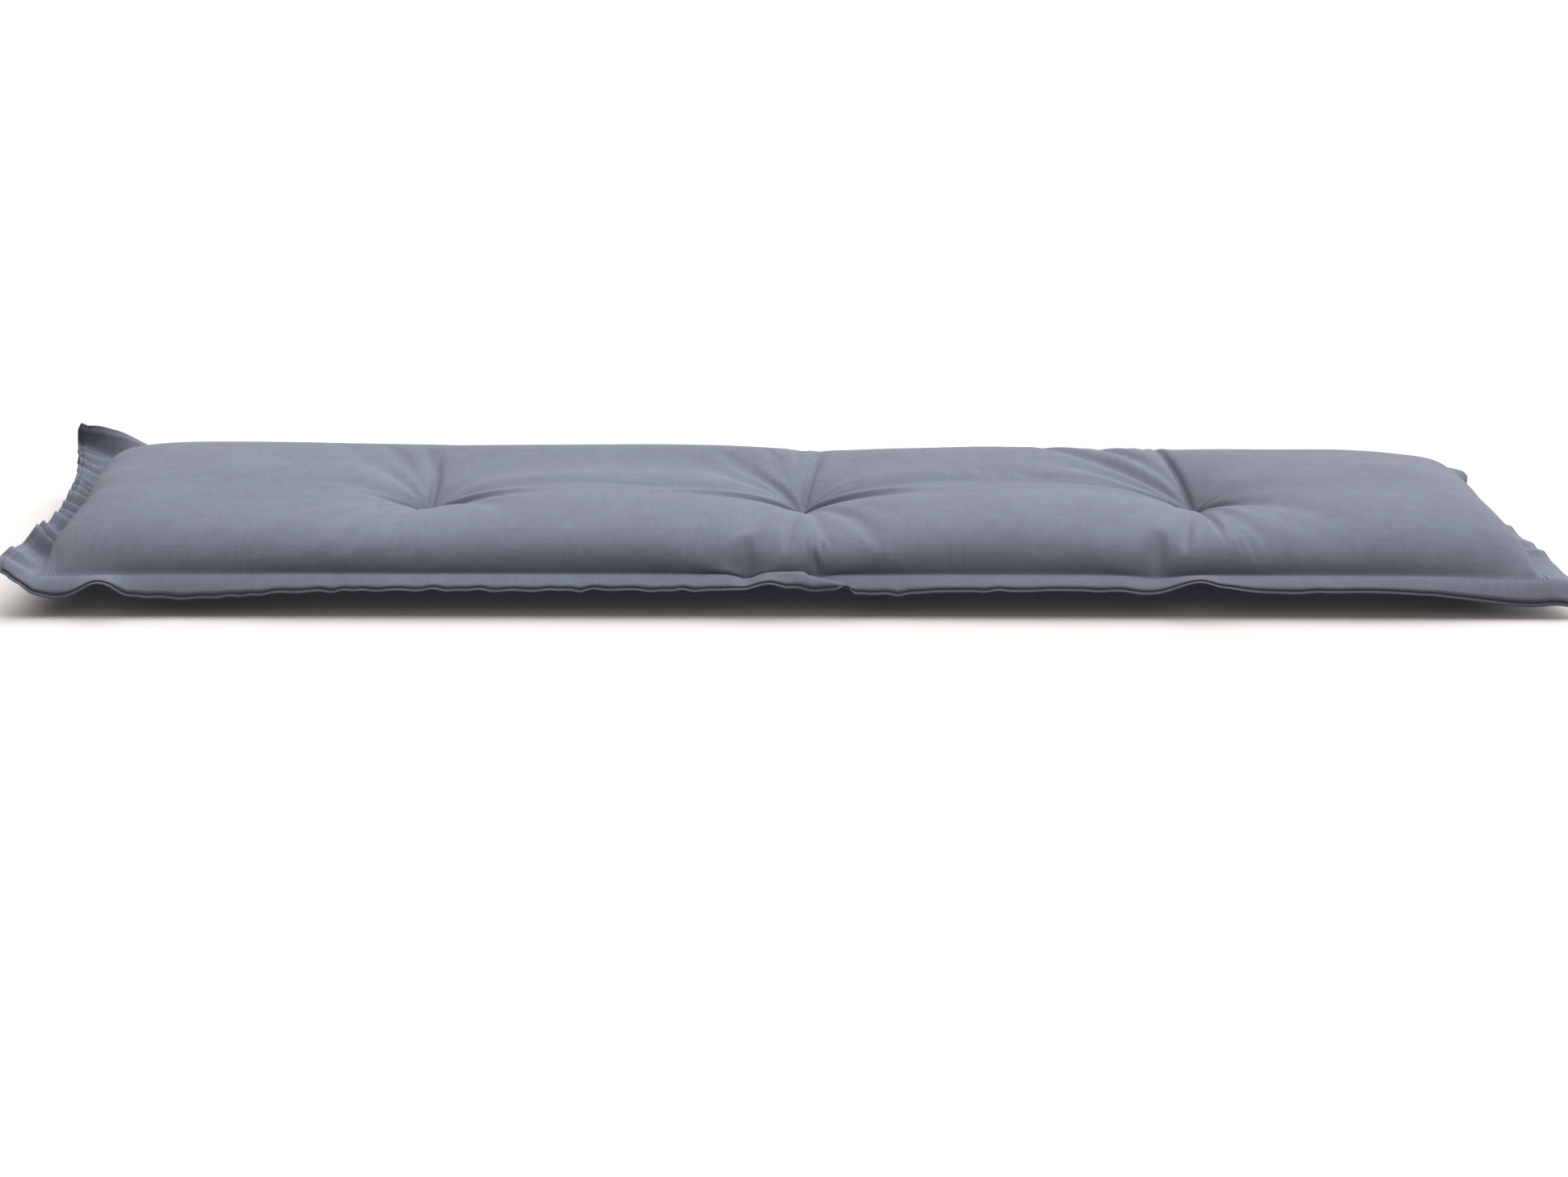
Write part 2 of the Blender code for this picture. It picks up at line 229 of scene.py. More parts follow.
def filling_loft(u, v):
    """Free thickness of the filling, which is never quite even and has parted along the creases."""
    fading = np.exp(-((u / VALLEY_END) ** 6))
    loft = FILLING_LOFT - VALLEY_DEPTH * np.exp(-np.abs(v) / VALLEY_HALF_WIDTH) * fading
    loft += BACK_ROLL_FULLER / (1 + np.exp(-v / BACK_ROLL_FADE))
    loft -= RIGHT_END_THINNER / (1 + np.exp(-(u - RIGHT_END_FROM) / RIGHT_END_FADE))
    back_left = np.exp(-(((u - BACK_LEFT_MIDDLE) / BACK_LEFT_HALF_LENGTH) ** 4))
    loft -= BACK_LEFT_THINNER / (1 + np.exp(-(v - BACK_LEFT_FROM) / BACK_LEFT_FADE)) * back_left
    for tuft in TUFTS:
        loft -= TUFT_THINNER * np.exp(-(((u - tuft.x) / TUFT_THIN_REACH) ** 2))
    for wave in UNEVEN_FILLING:
        loft += wave.height * np.sin(u * wave.along + v * wave.across + wave.phase)
    for crease in CREASES:
        tuft = next(t for t in TUFTS if t.name == crease.tuft)
        radius = from_tuft(tuft, u, v)
        share = (radius - crease.near) / (crease.far - crease.near)
        bent = (crease.far_angle - crease.near_angle) * np.clip(share, 0, 1)
        angle = np.radians(crease.near_angle + bent)
        turned = np.arctan2(v - tuft.y, u - tuft.x) - angle
        turned = (turned + np.pi) % (2 * np.pi) - np.pi
        off = np.where(np.abs(turned) < 1, radius * turned, 1)
        fade = np.clip((share + CREASE_FADE_IN / 2) / CREASE_FADE_IN, 0, 1)
        fade *= np.clip((1 + CREASE_FADE_OUT / 2 - share) / CREASE_FADE_OUT, 0, 1)
        loft -= CREASE_SHARE * crease.depth * fade * np.exp(-((off / crease.width) ** 2))
    return loft


def halved(points, axis):
    """The same cloth with a new point between each two neighbours along one axis, on a smooth curve."""
    points = np.moveaxis(points, axis, -1)
    first = 2 * points[..., :1] - points[..., 1:2]
    last = 2 * points[..., -1:] - points[..., -2:-1]
    padded = np.concatenate([first, points, last], axis=-1)
    between = (9 * (padded[..., 1:-2] + padded[..., 2:-1]) - padded[..., :-3] - padded[..., 3:]) / 16
    finer = np.empty(points.shape[:-1] + (2 * points.shape[-1] - 1,))
    finer[..., ::2] = points
    finer[..., 1::2] = between
    return np.moveaxis(finer, -1, axis)


def cut_steps(u, v):
    """Length of cloth cut between neighbouring grid lines, along the cushion and across it."""
    grid_u, grid_v = np.meshgrid(u, v, indexing="ij")
    pit = sum(PIT_EASE * np.exp(-((from_tuft(tuft, grid_u, grid_v) / PIT_REACH) ** 2)) for tuft in TUFTS)
    spine = SPINE_EASE * np.exp(-((grid_v / SPINE_HALF_WIDTH) ** 2))
    wall = END_CLOTH / END_REACH * np.exp(-(SEAM_X - np.abs(grid_u)) / END_REACH)
    share_u = EASE_AT_SEAM + pit + spine + EASE_ALONG * (1 - np.abs(grid_v / SEAM_Y) ** 4) ** 0.5
    share_u += wall * (1 - np.abs(grid_v / SEAM_Y) ** 9)
    share_v = EASE_AT_SEAM + pit + EASE_ACROSS * (1 - np.abs(grid_u / SEAM_X) ** 18)
    share_v -= ENDS_LESS / (1 + np.exp(-(np.abs(grid_u) - ENDS_FROM) / ENDS_FADE))
    step_u = np.diff(u, append=2 * u[-1] - u[-2])[:, None] * (1 + share_u)
    step_v = np.diff(v, append=2 * v[-1] - v[-2])[None, :] * (1 + share_v)
    return step_u, step_v


def cloth_threads(u, v):
    """Pairs of cloth points with the length cut between them, in groups that share no point."""
    along, across = len(u) - 1, len(v) - 1
    step_u, step_v = cut_steps(u, v)
    step_d = np.hypot(step_u, step_v)
    threads = []
    for k in (0, 1):
        threads.append((np.s_[:, k:along:2, :], np.s_[:, k + 1 :: 2, :], step_u, "thread"))
        threads.append((np.s_[:, :, k:across:2], np.s_[:, :, k + 1 :: 2], step_v, "thread"))
        threads.append((np.s_[:, k:along:2, :-1], np.s_[:, k + 1 :: 2, 1:], step_d, "bias"))
        threads.append((np.s_[:, k:along:2, 1:], np.s_[:, k + 1 :: 2, :-1], step_d, "bias"))
    double_u = step_u + np.roll(step_u, -1, axis=0)
    double_v = step_v + np.roll(step_v, -1, axis=1)
    for k in (0, 1, 2, 3):
        threads.append((np.s_[:, k : along - 1 : 4, :], np.s_[:, k + 2 :: 4, :], double_u, "bend"))
        threads.append((np.s_[:, :, k : across - 1 : 4], np.s_[:, :, k + 2 :: 4], double_v, "bend"))
    return [(a, b, step[a[1:]], kind) for a, b, step, kind in threads]


def settle(points, free, u, v, loft, steps):
    """Lets the cloth move under the filling's pressure until its threads and the floor hold it."""
    threads = cloth_threads(u, v)
    shares = [1 / (free[a] + free[b] + 1e-9) for a, b, _, _ in threads]
    cells = (u[2:] - u[:-2])[:, None] * (v[2:] - v[:-2])[None, :]
    push = PRESSURE * 4 * SEAM_X * SEAM_Y / ((len(u) - 1) * (len(v) - 1))
    speed = np.zeros_like(points)
    for _ in range(steps):
        before = points.copy()
        du = points[:, :, 2:, 1:-1] - points[:, :, :-2, 1:-1]
        dv = points[:, :, 1:-1, 2:] - points[:, :, 1:-1, :-2]
        outward = np.cross(du, dv, axis=0) / cells
        outward[:, 1] *= -1
        thickness = points[2, 0] - points[2, 1]
        pressure = np.clip((loft - thickness) / LOFT_GIVE, -CLING, 1)[1:-1, 1:-1]
        speed[:, :, 1:-1, 1:-1] += outward * (push * pressure)
        speed[2] -= SAG * push
        speed *= SPEED_KEPT
        points += speed * free
        for (a, b, cut, kind), share in zip(threads, shares):
            reach = points[(slice(None), *b)] - points[(slice(None), *a)]
            excess = 1 - cut / np.sqrt(np.einsum("c...,c...->...", reach, reach))
            if kind == "bend":
                excess = np.minimum(excess, 0)
            pull = reach * (excess * share * STIFFNESS[kind])
            points[(slice(None), *a)] += pull * free[a]
            points[(slice(None), *b)] -= pull * free[b]
        np.maximum(points[2], 0, out=points[2])
        speed = points - before
    return points


def relaxed(points, passes):
    """The same cloth with its short folds taken out and its broad shape kept."""
    points = points.copy()
    for _ in range(passes):
        beside = points[:, :, 2:, 1:-1] + points[:, :, :-2, 1:-1]
        beside += points[:, :, 1:-1, 2:] + points[:, :, 1:-1, :-2]
        points[:, :, 1:-1, 1:-1] += (beside / 4 - points[:, :, 1:-1, 1:-1]) / 2
    return points


def filled_panels(u, v, levels):
    """Both panels between the topstitching, settled on a few of the grid lines first and then on more."""
    points = None
    for every, steps in levels:
        grid_u, grid_v = np.meshgrid(u[::every], v[::every], indexing="ij")
        if points is None:
            points = first_shape(grid_u, grid_v)
        else:
            points = halved(halved(points, 2), 3)
        free = np.ones_like(points[0])
        free[:, [0, -1], :] = 0
        free[:, :, [0, -1]] = 0
        held = free == 0
        for axis, place in enumerate((*seam_plan(grid_u, grid_v), seam_height(grid_u, grid_v))):
            points[axis][held] = np.broadcast_to(place, held.shape)[held]
        for tuft in TUFTS:
            near = from_tuft(tuft, grid_u, grid_v) < TIE_GRIP
            for side, height in enumerate((PIT_FLOOR, UNDER_PIT)):
                free[side][near] = 0
                points[0, side][near] = tuft.x + (grid_u - tuft.x)[near] * GATHERED
                points[1, side][near] = tuft.y + (grid_v - tuft.y)[near] * GATHERED
                points[2, side][near] = height
        points = settle(points, free, u[::every], v[::every], filling_loft(grid_u, grid_v), steps)
    return points


CELLS_ALONG, CELLS_ACROSS = 360, 104
body_u = graded(SEAM_X, CELLS_ALONG, [tuft.x for tuft in TUFTS], closeness=1.2, width=0.035)
body_v = graded(SEAM_Y, CELLS_ACROSS, [0.0], closeness=1.2, width=0.025)
levels = [(4, 500), (2, 500), (1, 400)]  # every how many grid lines, and how many steps
panels = filled_panels(body_u, body_v, levels)

# Past the outer tufts the filling is packed full and the cloth is smooth.
SMOOTH_FROM, SMOOTH_FADE = 0.045, 0.012
RELAX_PASSES = 36
past_tufts = np.maximum(TUFTS[0].x - body_u, body_u - TUFTS[-1].x)
smooth_share = 1 / (1 + np.exp(-(past_tufts - SMOOTH_FROM) / SMOOTH_FADE))
once = relaxed(panels, RELAX_PASSES)
panels += (2 * once - relaxed(once, RELAX_PASSES) - panels) * smooth_share[None, None, :, None]
np.maximum(panels[2], 0, out=panels[2])

# The flange is both panels lying on each other outside the topstitching. It hangs a little towards its free
# edge, which is puckered where the stitches have drawn it in, and one pleat is caught in it at the front.
LEFT_FLANGE_WIDER = 1.25
RIGHT_FLANGE_WIDER = 1.08
LEFT_TROUGH = 0.006  # and it dips between the topstitching and its outer edge
FLANGE_THICK_AT_SEAM = 0.0018
FLANGE_THICK = 0.0032
FLANGE_THICKENS_BY = 0.35  # share of its width
FLANGE_CELLS = 6
CORNER_SQUARENESS = 7
HANG_AT_SEAM = 4.0  # degrees below level
HANG_AT_EDGE = 27.0

# Places where the flange hangs at another angle, and how many degrees further down it points.
Hang = namedtuple("Hang", "edge at half_length power more")
HANGS = [
    Hang("left", -0.160, 0.145, 4.0, -48.0),
    Hang("left", 0.130, 0.150, 4.0, -34.0),
    Hang("right", 0.115, 0.070, 4.0, 55.0),
    Hang("right", -0.080, 0.100, 4.0, -26.0),
    Hang("back", -0.748, 0.054, 1.7, -98.0),
]

# How much higher the free edge runs in places: middle of the place, half its length, how squarely it ends,
# and the height.
Wave = namedtuple("Wave", "edge at half_length power height")
WAVES = [
    Wave("front", -0.707, 0.020, 2.0, -0.0055),
    Wave("front", -0.661, 0.017, 2.0, 0.0110),
    Wave("front", -0.579, 0.090, 2.0, -0.0070),
    Wave("front", -0.040, 0.026, 2.0, 0.0065),
    Wave("front", 0.079, 0.050, 2.0, -0.0035),
    Wave("front", 0.378, 0.032, 2.0, 0.0080),
    Wave("front", 0.462, 0.040, 2.0, -0.0010),
    Wave("front", 0.735, 0.110, 2.0, -0.0110),
    Wave("back", -0.524, 0.060, 2.0, 0.006),
    Wave("back", -0.206, 0.050, 2.0, -0.004),
    Wave("back", 0.034, 0.040, 2.0, 0.008),
    Wave("back", 0.325, 0.060, 2.0, 0.005),
]

# Runs of small ruffles. They lean along the edge as they go out, and are uneven in spacing and height.
RUFFLE_LEAN = 0.4
SPACING_UNEVEN, SPACING_WAVES = 0.22, 61
HEIGHT_UNEVEN, HEIGHT_WAVES = 0.25, 83
Ruffle = namedtuple("Ruffle", "edge at half_length wavelength height")
RUFFLES = [
    Ruffle("left", 0.107, 0.115, 0.025, 0.0050),
    Ruffle("left", -0.110, 0.095, 0.047, 0.0070),
    Ruffle("right", -0.022, 0.180, 0.046, 0.0020),
    Ruffle("front", -0.021, 0.600, 0.061, 0.0010),
    Ruffle("front", -0.321, 0.500, 0.027, 0.0009),
    Ruffle("back", -0.006, 0.600, 0.053, 0.0012),
]
CORNER_LIFT = 0.004
CORNER_REACH = 0.040
PLEAT_AT_SEAM = -0.017
PLEAT_AT_EDGE = 0.045
PLEAT_HEIGHT = 0.0055
PLEAT_RISE = 0.045  # length over which the upper layer comes up to the fold
PLEAT_FOLD = 0.0012  # and over which it drops again
PLEAT_FULL_BY = 0.3  # share of the flange's width


def along_edge(table, edge, along):
    """What a table of bumps adds up to along one edge."""
    bumps = [row for row in table if row.edge == edge]
    away = [np.abs(along - row.at) / row.half_length for row in bumps]
    return sum(row[-1] * np.exp(-(far**row.power)) for row, far in zip(bumps, away))


def hung_edge(edge, past, along):
    """Distance out and height of the flange past one edge, as it hangs, ruffles and waves there."""
    out = past / FLANGE
    slope = HANG_AT_SEAM + (HANG_AT_EDGE - HANG_AT_SEAM) * out / 2
    slope = np.radians(slope + along_edge(HANGS, edge, along) * out**0.3)
    ruffled = np.zeros_like(past)
    for ruffle in RUFFLES:
        if ruffle.edge == edge:
            window = np.exp(-(((along - ruffle.at) / ruffle.half_length) ** 4))
            turns = (along + RUFFLE_LEAN * past) / ruffle.wavelength
            turns = turns + SPACING_UNEVEN * np.sin(along * SPACING_WAVES + 1)
            tallness = 1 - HEIGHT_UNEVEN + HEIGHT_UNEVEN * np.sin(along * HEIGHT_WAVES)
            crest = np.sin(2 * np.pi * turns) * tallness
            ruffled = ruffled + ruffle.height * window * crest * out
    reach = past * np.cos(slope) + ruffled * np.sin(slope)
    height = ruffled * np.cos(slope) - past * np.sin(slope)
    if edge == "left":
        trough = LEFT_TROUGH * (1 - np.clip(np.abs(along) / SEAM_Y, 0, 1) ** 6)
        height = height - trough * np.sin(np.pi * np.clip(out / LEFT_FLANGE_WIDER, 0, 1))
    return reach, height + along_edge(WAVES, edge, along) * out**1.2


def flange_middle(u, v):
    """Middle of the flange's thickness, for grid coordinates outside the topstitching."""
    seam_u, seam_v = np.clip(u, -SEAM_X, SEAM_X), np.clip(v, -SEAM_Y, SEAM_Y)
    past_u, past_v = u - seam_u, v - seam_v
    widest = np.maximum(np.abs(past_u), np.abs(past_v))
    power = CORNER_SQUARENESS
    rounded = widest / (np.abs(past_u) ** power + np.abs(past_v) ** power + 1e-30) ** (1 / power)
    x, y = seam_plan(seam_u, seam_v)
    height = seam_height(seam_u, seam_v)
    edges = [("left", -past_u, v), ("right", past_u, v), ("front", -past_v, u), ("back", past_v, u)]
    for edge, past, along in edges:
        reach, rise = hung_edge(edge, np.maximum(past, 0) * rounded, along)
        height = height + np.where(past > 0, rise, 0)
        if edge in ("left", "right"):
            x = x + np.where(past > 0, np.sign(u) * reach, 0)
        else:
            y = y + np.where(past > 0, np.sign(v) * reach, 0)
    out = widest / FLANGE
    away = np.hypot(np.abs(x) - cushion_high[0], np.abs(y) - cushion_high[1])
    height = height + CORNER_LIFT * np.exp(-((away / CORNER_REACH) ** 2)) * out
    fold_line = PLEAT_AT_SEAM + (PLEAT_AT_EDGE - PLEAT_AT_SEAM) * out
    short = fold_line - u
    pleat = PLEAT_HEIGHT * np.exp(-((np.maximum(short, 0) / PLEAT_RISE) ** 2))
    pleat = pleat / (1 + np.exp(-short / PLEAT_FOLD))
    height = height + np.where(past_v < 0, pleat * np.minimum(out / PLEAT_FULL_BY, 1), 0)
    return np.stack([x, y, height]), out


def grid_faces(rows, columns, start, upward):
    """Quads between neighbouring points of a grid of rows by columns points, numbered from start."""
    corner = start + np.arange(rows * columns).reshape(rows, columns)
    a, b, c, d = corner[:-1, :-1], corner[1:, :-1], corner[1:, 1:], corner[:-1, 1:]
    loop = (a, b, c, d) if upward else (d, c, b, a)
    return np.stack([part.ravel() for part in loop], axis=1)


def outline(grid):
    """The points round the outside of a grid, anticlockwise seen from above, each corner once."""
    return np.concatenate([grid[:-1, 0], grid[-1, :-1], grid[:0:-1, -1], grid[0, :0:-1]])


margin = np.linspace(0, FLANGE, FLANGE_CELLS + 1)[1:]
left_margin, right_margin = margin[::-1] * LEFT_FLANGE_WIDER, margin * RIGHT_FLANGE_WIDER
all_u = np.concatenate([-SEAM_X - left_margin, body_u, SEAM_X + right_margin])
all_v = np.concatenate([-SEAM_Y - margin[::-1], body_v, SEAM_Y + margin])
cut_u, cut_v = np.meshgrid(all_u, all_v, indexing="ij")
middle, out = flange_middle(cut_u, cut_v)
across_flange = np.cross(np.gradient(middle, axis=1), np.gradient(middle, axis=2), axis=0)
across_flange /= np.linalg.norm(across_flange, axis=0)
thickened = np.clip(out / FLANGE_THICKENS_BY, 0, 1) ** 0.7
thick = FLANGE_THICK_AT_SEAM + (FLANGE_THICK - FLANGE_THICK_AT_SEAM) * thickened
inside = slice(FLANGE_CELLS, -FLANGE_CELLS)
sheets = []
for side in (0, 1):
    sheet = middle + across_flange * thick / 2 * (1 - 2 * side)
    body = sheet[:, inside, inside]
    body[:, 1:-1, 1:-1] = panels[:, side, 1:-1, 1:-1]
    sheets.append(sheet)

# Round the outer edge: the top panel turns in, then the seam's groove, then the lip of the under panel.
# Each row has its distance outward, and its height as a share of the flange's thickness.
RIM = [
    (0.0, 0.40),
    (-0.0024, 0.22),
    (-0.0026, 0.10),
    (0.0030, 0.04),
    (0.0042, -0.14),
    (0.0030, -0.42),
]
rim_middle = np.stack([outline(part) for part in middle])
rim_up = np.stack([outline(part) for part in across_flange]) * FLANGE_THICK
along_rim = np.roll(rim_middle, -1, axis=1) - np.roll(rim_middle, 1, axis=1)
rim_out = np.cross(along_rim, rim_up, axis=0)
rim_out /= np.linalg.norm(rim_out, axis=0)
rim_rows = [rim_middle + rim_out * reach + rim_up * share for reach, share in RIM]

count = cut_u.size
vertices = np.concatenate([sheet.reshape(3, -1).T for sheet in sheets] + [row.T for row in rim_rows])
numbers = np.arange(count).reshape(cut_u.shape)
rings = [outline(numbers)]
rings += [2 * count + len(rings[0]) * row + np.arange(len(rings[0])) for row in range(len(RIM))]
rings.append(count + outline(numbers))
faces = [grid_faces(*cut_u.shape, 0, True), grid_faces(*cut_u.shape, count, False)]
for upper, lower in zip(rings[:-1], rings[1:]):
    faces.append(np.stack([upper, lower, np.roll(lower, -1), np.roll(upper, -1)], axis=1))
mesh = bpy.data.meshes.new("cover")
mesh.from_pydata(vertices.tolist(), [], np.concatenate(faces).tolist())
mesh.validate()
mesh.shade_smooth()
rim_cut = np.stack([outline(cut_u), outline(cut_v)])
cloth_place = np.zeros((len(vertices), 3))
cloth_place[:count, 0], cloth_place[:count, 1] = cut_u.ravel(), cut_v.ravel()
cloth_place[count : 2 * count] = cloth_place[:count]
cloth_place[2 * count :, :2] = np.tile(rim_cut.T, (len(RIM), 1))
mesh.attributes.new("cloth_place", "FLOAT_VECTOR", "POINT").data.foreach_set("vector", cloth_place.ravel())
cover = bpy.data.objects.new("cover", mesh)
bpy.context.scene.collection.objects.link(cover)


class Tone:
    """A value, colour or vector that changes over a surface. Arithmetic on it adds shader nodes."""

    def __init__(self, tree, socket=None):
        self.tree = tree
        self.socket = socket

    def node(self, kind, settings, sockets, output=0):
        """Adds a node of that kind and returns one of its outputs."""
        new = self.tree.nodes.new(kind)
        for name, value in settings.items():
            setattr(new, name, value)
        for name, value in sockets.items():
            if isinstance(value, Tone):
                self.tree.links.new(value.socket, new.inputs[name])
            else:
                new.inputs[name].default_value = value
        return Tone(self.tree, new.outputs[output])

    def maths(self, operation, first, second):
        """Adds a Math node for two values."""
        return self.node("ShaderNodeMath", {"operation": operation}, {0: first, 1: second})

    def __add__(self, other):
        return self.maths("ADD", self, other)

    def __radd__(self, other):
        return self.maths("ADD", other, self)

    def __sub__(self, other):
        return self.maths("SUBTRACT", self, other)

    def __rsub__(self, other):
        return self.maths("SUBTRACT", other, self)

    def __mul__(self, other):
        return self.maths("MULTIPLY", self, other)

    def __rmul__(self, other):
        return self.maths("MULTIPLY", other, self)


def new_finish(name, **constants):
    """A material whose shader has those constant values, and a Tone to build its patterns from."""
    finish = bpy.data.materials.new(name)
    finish.use_nodes = True
    shader = finish.node_tree.nodes["Principled BSDF"]
    for socket, value in constants.items():
        shader.inputs[socket.replace("_", " ")].default_value = value
    return finish, shader, Tone(finish.node_tree)


def noise(tone, place, scale, detail):
    """Soft noise between 0 and 1, with a scale along each axis, in waves to the metre."""
    stretched = tone.node("ShaderNodeVectorMath", {"operation": "MULTIPLY"}, {0: place, 1: scale})
    sockets = {"Vector": stretched, "Scale": 1.0, "Detail": detail, "Roughness": 0.6}
    return tone.node("ShaderNodeTexNoise", {}, sockets)


# Slate-blue cotton and polyester in plain weave. Thick and thin yarns make fine streaks both ways.
CLOTH_DEEP = (0.098, 0.111, 0.145, 1)
CLOTH_PALE = (0.208, 0.233, 0.292, 1)
YARN_PITCH = 0.0011
STREAK_CONTRAST, PATCH_CONTRAST, BLOTCH_CONTRAST, WEAVE_CONTRAST = 0.9, 0.45, 0.35, 0.06
cloth, cloth_shader, tone = new_finish(
    "cover_cloth", Sheen_Weight=0.10, Sheen_Roughness=0.5, Specular_IOR_Level=0.2
)
place = tone.node("ShaderNodeAttribute", {"attribute_name": "cloth_place"}, {}, "Vector")
long_yarn = noise(tone, place, (24, 300, 1), 3.0)
cross_yarn = noise(tone, place, (300, 24, 1), 3.0)
patches = noise(tone, place, (11, 11, 1), 3.0)
blotches = noise(tone, place, (60, 60, 1), 2.0)
along = tone.node("ShaderNodeSeparateXYZ", {}, {0: place}, "X")
across = tone.node("ShaderNodeSeparateXYZ", {}, {0: place}, "Y")
turn = math.pi / YARN_PITCH
over = tone.node("ShaderNodeMath", {"operation": "SINE"}, {0: along * turn})
under = tone.node("ShaderNodeMath", {"operation": "SINE"}, {0: across * turn})
weave = over * under
streaks = long_yarn * 0.5 + cross_yarn * 0.5
shade = 0.5 + (streaks - 0.5) * STREAK_CONTRAST + (patches - 0.5) * PATCH_CONTRAST
shade = shade + (blotches - 0.5) * BLOTCH_CONTRAST + weave * WEAVE_CONTRAST
darker = tone.node("ShaderNodeMix", {"data_type": "RGBA"}, {0: shade, 6: CLOTH_DEEP, 7: CLOTH_PALE}, 2)
tone.tree.links.new(darker.socket, cloth_shader.inputs["Base Color"])
tone.tree.links.new((0.80 + streaks * 0.14).socket, cloth_shader.inputs["Roughness"])
height = weave * 0.35 + streaks * 0.7 + blotches * 0.4
bump = tone.node("ShaderNodeBump", {}, {"Strength": 0.5, "Distance": 0.0006, "Height": height})
tone.tree.links.new(bump.socket, cloth_shader.inputs["Normal"])
mesh.materials.append(cloth)

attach(cover, "root")
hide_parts("cushion")

# ---------------------------------------------------------------- the topstitching
# One row of lockstitch in matching polyester thread, 25 mm in from the turned edge, seen on the top and the
# underside. Each stitch bites into the cloth at both its ends and stands a little proud between.
STITCH_LENGTH = 0.0031
STITCH_STEP = 0.0042
THREAD_RADIUS = 0.00032
THREAD_SIDES = 5
LOOK_AHEAD = 0.001  # distance over which the seam's direction is taken

# Along the stitch as a share of its length, height in thread radii, thickness as a share of the thread's.
STITCH_PROFILE = [
    (-0.50, -0.9, 0.5),
    (-0.36, 0.35, 1.0),
    (0.0, 0.8, 1.0),
    (0.36, 0.35, 1.0),
    (0.50, -0.9, 0.5),
]


def seam_line(sheet, up):
    """Points and outward directions along the topstitching on one panel, closed, one stitch step apart."""
    ring = np.stack([outline(part[inside, inside]) for part in sheet]).T
    rise = np.stack([outline(part[inside, inside]) for part in up]).T
    ring, rise = np.concatenate([ring, ring[:1]]), np.concatenate([rise, rise[:1]])
    run = np.concatenate([[0], np.cumsum(np.linalg.norm(np.diff(ring, axis=0), axis=1))])
    stops = np.linspace(0, run[-1], int(run[-1] / STITCH_STEP) + 1)[:-1]
    places = []
    for shift in (-LOOK_AHEAD, 0, LOOK_AHEAD):
        shifted = [np.interp(stops + shift, run, part, period=run[-1]) for part in ring.T]
        places.append(np.stack(shifted, axis=1))
    before, centres, after = places
    ahead = after - before
    ahead /= np.linalg.norm(ahead, axis=1)[:, None]
    rise = np.stack([np.interp(stops, run, part) for part in rise.T], axis=1)
    rise /= np.linalg.norm(rise, axis=1)[:, None]
    return centres, ahead, rise


stitch_points = []
stitch_faces = []
for sheet, up in ((sheets[0], across_flange), (sheets[1], -across_flange)):
    centres, ahead, rise = seam_line(sheet, up)
    aside = np.cross(ahead, rise)
    for centre, forward, upward, sideways in zip(centres, ahead, rise, aside):
        start = len(stitch_points)
        for along, lift, share in STITCH_PROFILE:
            middle_point = centre + forward * along * STITCH_LENGTH + upward * lift * THREAD_RADIUS
            for side in range(THREAD_SIDES):
                angle = 2 * math.pi * side / THREAD_SIDES
                spoke = sideways * math.cos(angle) + upward * math.sin(angle)
                stitch_points.append(middle_point + spoke * THREAD_RADIUS * share)
        for ring in range(len(STITCH_PROFILE) - 1):
            for side in range(THREAD_SIDES):
                here = start + ring * THREAD_SIDES + side
                beside = start + ring * THREAD_SIDES + (side + 1) % THREAD_SIDES
                stitch_faces.append((here, here + THREAD_SIDES, beside + THREAD_SIDES, beside))
        last = start + (len(STITCH_PROFILE) - 1) * THREAD_SIDES
        stitch_faces.append(tuple(range(start, start + THREAD_SIDES)))
        stitch_faces.append(tuple(range(last + THREAD_SIDES - 1, last - 1, -1)))
stitch_mesh = bpy.data.meshes.new("topstitching")
stitch_mesh.from_pydata([tuple(point) for point in stitch_points], [], stitch_faces)
stitch_mesh.shade_smooth()
topstitching = bpy.data.objects.new("topstitching", stitch_mesh)
bpy.context.scene.collection.objects.link(topstitching)

THREAD_COLOUR = (0.120, 0.134, 0.170, 1)
THREAD_WORN = (0.190, 0.210, 0.255, 1)
thread, thread_shader, tone = new_finish("stitch_thread", Sheen_Weight=0.1, Specular_IOR_Level=0.35)
place = tone.node("ShaderNodeTexCoord", {}, {}, "Object")
fibres = noise(tone, place, (900, 900, 900), 2.0)
colour = tone.node("ShaderNodeMix", {"data_type": "RGBA"}, {0: fibres, 6: THREAD_COLOUR, 7: THREAD_WORN}, 2)
tone.tree.links.new(colour.socket, thread_shader.inputs["Base Color"])
tone.tree.links.new((0.45 + fibres * 0.25).socket, thread_shader.inputs["Roughness"])
bump = tone.node("ShaderNodeBump", {}, {"Strength": 0.4, "Distance": 0.0001, "Height": fibres})
tone.tree.links.new(bump.socket, thread_shader.inputs["Normal"])
stitch_mesh.materials.append(thread)
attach(topstitching, "root")

# ---------------------------------------------------------------- the tuft ties
# Waxed twine of three plies, passed through the filling twice at each tuft and joined in a loop, so that it
# draws the top panel and the underside together. It lies in the bottom of the pit that it makes.
PLIES = 3
PLY_RADIUS = 0.00058
PLY_OFFSET = 0.00060
TWIST_LENGTH = 0.0060
ROUTE_POINTS = 160
PLY_SIDES = 8
ROUTE_SQUARENESS = 6

